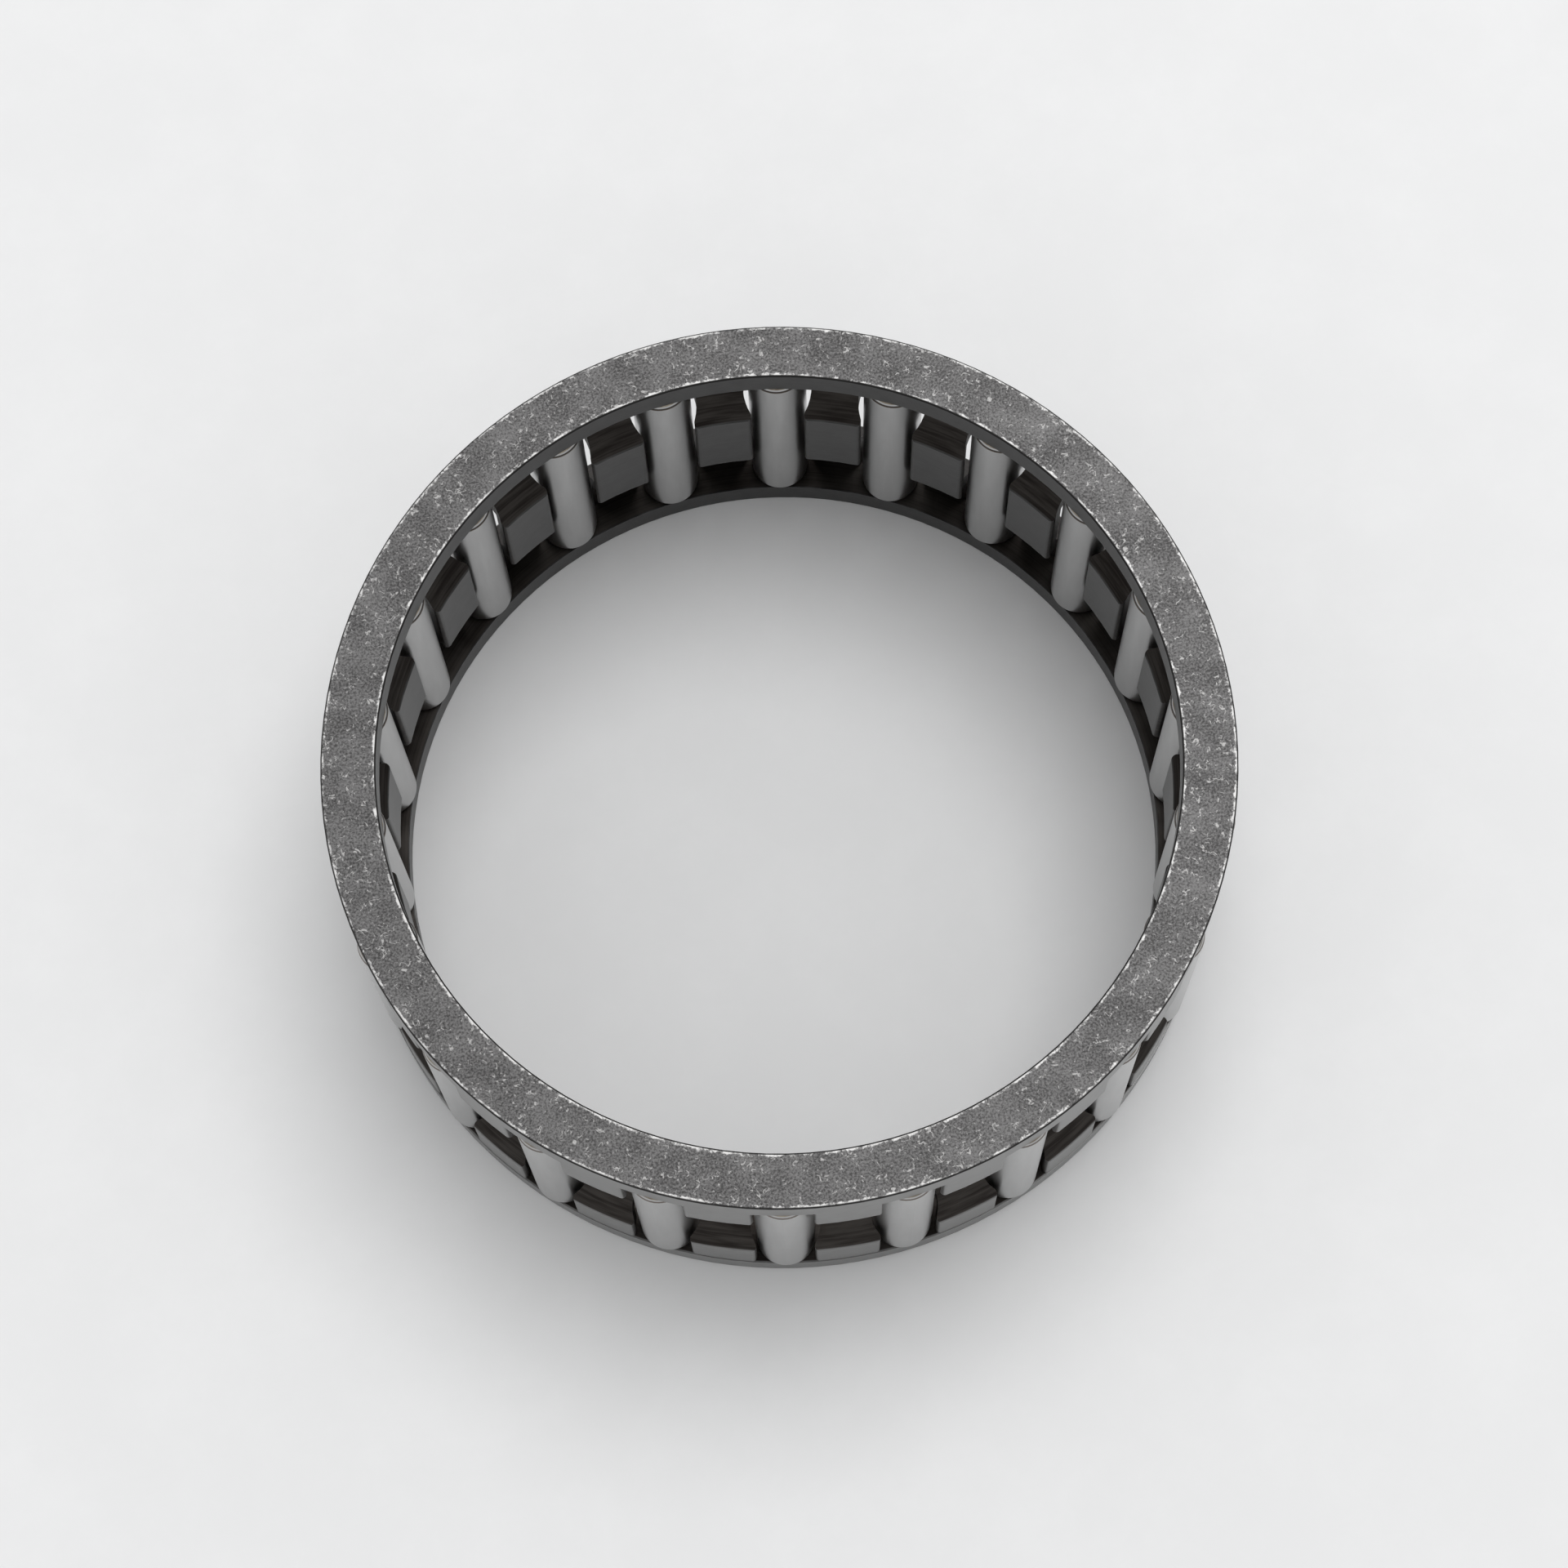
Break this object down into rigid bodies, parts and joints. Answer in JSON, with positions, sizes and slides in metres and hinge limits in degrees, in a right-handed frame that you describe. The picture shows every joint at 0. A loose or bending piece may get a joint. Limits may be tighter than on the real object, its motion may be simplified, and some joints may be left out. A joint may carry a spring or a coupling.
{
  "type": "needle roller bearing",
  "caption": "Needle roller and cage assembly: loose needle rollers in a one-piece turned steel cage, running straight on a shaft inside a housing bore.",
  "frame": {"origin": "centre of the bearing's lower end face, on its axis", "axes": "+Z along the bearing's axis, from the lower end face to the upper one; +X through the axis of the first roller"},
  "size_m": [0.06, 0.0596, 0.024],
  "materials": {
    "cage_steel": "turned, then tumbled: satin, with fine speckled end faces",
    "roller_steel": "ground and lapped hardened steel: smooth satin"
  },
  "bodies": {
    "cage": {"cage": "cage_steel"},
    "roller_01": {"roller_01": "roller_steel"},
    "roller_02": {"roller_02": "roller_steel"},
    "roller_03": {"roller_03": "roller_steel"},
    "roller_04": {"roller_04": "roller_steel"},
    "roller_05": {"roller_05": "roller_steel"},
    "roller_06": {"roller_06": "roller_steel"},
    "roller_07": {"roller_07": "roller_steel"},
    "roller_08": {"roller_08": "roller_steel"},
    "roller_09": {"roller_09": "roller_steel"},
    "roller_10": {"roller_10": "roller_steel"},
    "roller_11": {"roller_11": "roller_steel"},
    "roller_12": {"roller_12": "roller_steel"},
    "roller_13": {"roller_13": "roller_steel"},
    "roller_14": {"roller_14": "roller_steel"},
    "roller_15": {"roller_15": "roller_steel"},
    "roller_16": {"roller_16": "roller_steel"},
    "roller_17": {"roller_17": "roller_steel"},
    "roller_18": {"roller_18": "roller_steel"},
    "roller_19": {"roller_19": "roller_steel"},
    "roller_20": {"roller_20": "roller_steel"},
    "roller_21": {"roller_21": "roller_steel"},
    "roller_22": {"roller_22": "roller_steel"}
  },
  "joints": [
    {"name": "roller_01_spin", "type": "hinge", "parent": "cage", "child": "roller_01", "pos_m": [0.028, 0, 0.012], "axis": [0, 0, 1], "continuous": true},
    {"name": "roller_02_spin", "type": "hinge", "parent": "cage", "child": "roller_02", "pos_m": [0.02687, 0.00789, 0.012], "axis": [0, 0, 1], "continuous": true},
    {"name": "roller_03_spin", "type": "hinge", "parent": "cage", "child": "roller_03", "pos_m": [0.02356, 0.01514, 0.012], "axis": [0, 0, 1], "continuous": true},
    {"name": "roller_04_spin", "type": "hinge", "parent": "cage", "child": "roller_04", "pos_m": [0.01834, 0.02116, 0.012], "axis": [0, 0, 1], "continuous": true},
    {"name": "roller_05_spin", "type": "hinge", "parent": "cage", "child": "roller_05", "pos_m": [0.01163, 0.02547, 0.012], "axis": [0, 0, 1], "continuous": true},
    {"name": "roller_06_spin", "type": "hinge", "parent": "cage", "child": "roller_06", "pos_m": [0.00398, 0.02772, 0.012], "axis": [0, 0, 1], "continuous": true},
    {"name": "roller_07_spin", "type": "hinge", "parent": "cage", "child": "roller_07", "pos_m": [-0.00398, 0.02772, 0.012], "axis": [0, 0, 1], "continuous": true},
    {"name": "roller_08_spin", "type": "hinge", "parent": "cage", "child": "roller_08", "pos_m": [-0.01163, 0.02547, 0.012], "axis": [0, 0, 1], "continuous": true},
    {"name": "roller_09_spin", "type": "hinge", "parent": "cage", "child": "roller_09", "pos_m": [-0.01834, 0.02116, 0.012], "axis": [0, 0, 1], "continuous": true},
    {"name": "roller_10_spin", "type": "hinge", "parent": "cage", "child": "roller_10", "pos_m": [-0.02356, 0.01514, 0.012], "axis": [0, 0, 1], "continuous": true},
    {"name": "roller_11_spin", "type": "hinge", "parent": "cage", "child": "roller_11", "pos_m": [-0.02687, 0.00789, 0.012], "axis": [0, 0, 1], "continuous": true},
    {"name": "roller_12_spin", "type": "hinge", "parent": "cage", "child": "roller_12", "pos_m": [-0.028, 0, 0.012], "axis": [0, 0, 1], "continuous": true},
    {"name": "roller_13_spin", "type": "hinge", "parent": "cage", "child": "roller_13", "pos_m": [-0.02687, -0.00789, 0.012], "axis": [0, 0, 1], "continuous": true},
    {"name": "roller_14_spin", "type": "hinge", "parent": "cage", "child": "roller_14", "pos_m": [-0.02356, -0.01514, 0.012], "axis": [0, 0, 1], "continuous": true},
    {"name": "roller_15_spin", "type": "hinge", "parent": "cage", "child": "roller_15", "pos_m": [-0.01834, -0.02116, 0.012], "axis": [0, 0, 1], "continuous": true},
    {"name": "roller_16_spin", "type": "hinge", "parent": "cage", "child": "roller_16", "pos_m": [-0.01163, -0.02547, 0.012], "axis": [0, 0, 1], "continuous": true},
    {"name": "roller_17_spin", "type": "hinge", "parent": "cage", "child": "roller_17", "pos_m": [-0.00398, -0.02772, 0.012], "axis": [0, 0, 1], "continuous": true},
    {"name": "roller_18_spin", "type": "hinge", "parent": "cage", "child": "roller_18", "pos_m": [0.00398, -0.02772, 0.012], "axis": [0, 0, 1], "continuous": true},
    {"name": "roller_19_spin", "type": "hinge", "parent": "cage", "child": "roller_19", "pos_m": [0.01163, -0.02547, 0.012], "axis": [0, 0, 1], "continuous": true},
    {"name": "roller_20_spin", "type": "hinge", "parent": "cage", "child": "roller_20", "pos_m": [0.01834, -0.02116, 0.012], "axis": [0, 0, 1], "continuous": true},
    {"name": "roller_21_spin", "type": "hinge", "parent": "cage", "child": "roller_21", "pos_m": [0.02356, -0.01514, 0.012], "axis": [0, 0, 1], "continuous": true},
    {"name": "roller_22_spin", "type": "hinge", "parent": "cage", "child": "roller_22", "pos_m": [0.02687, -0.00789, 0.012], "axis": [0, 0, 1], "continuous": true}
  ]
}
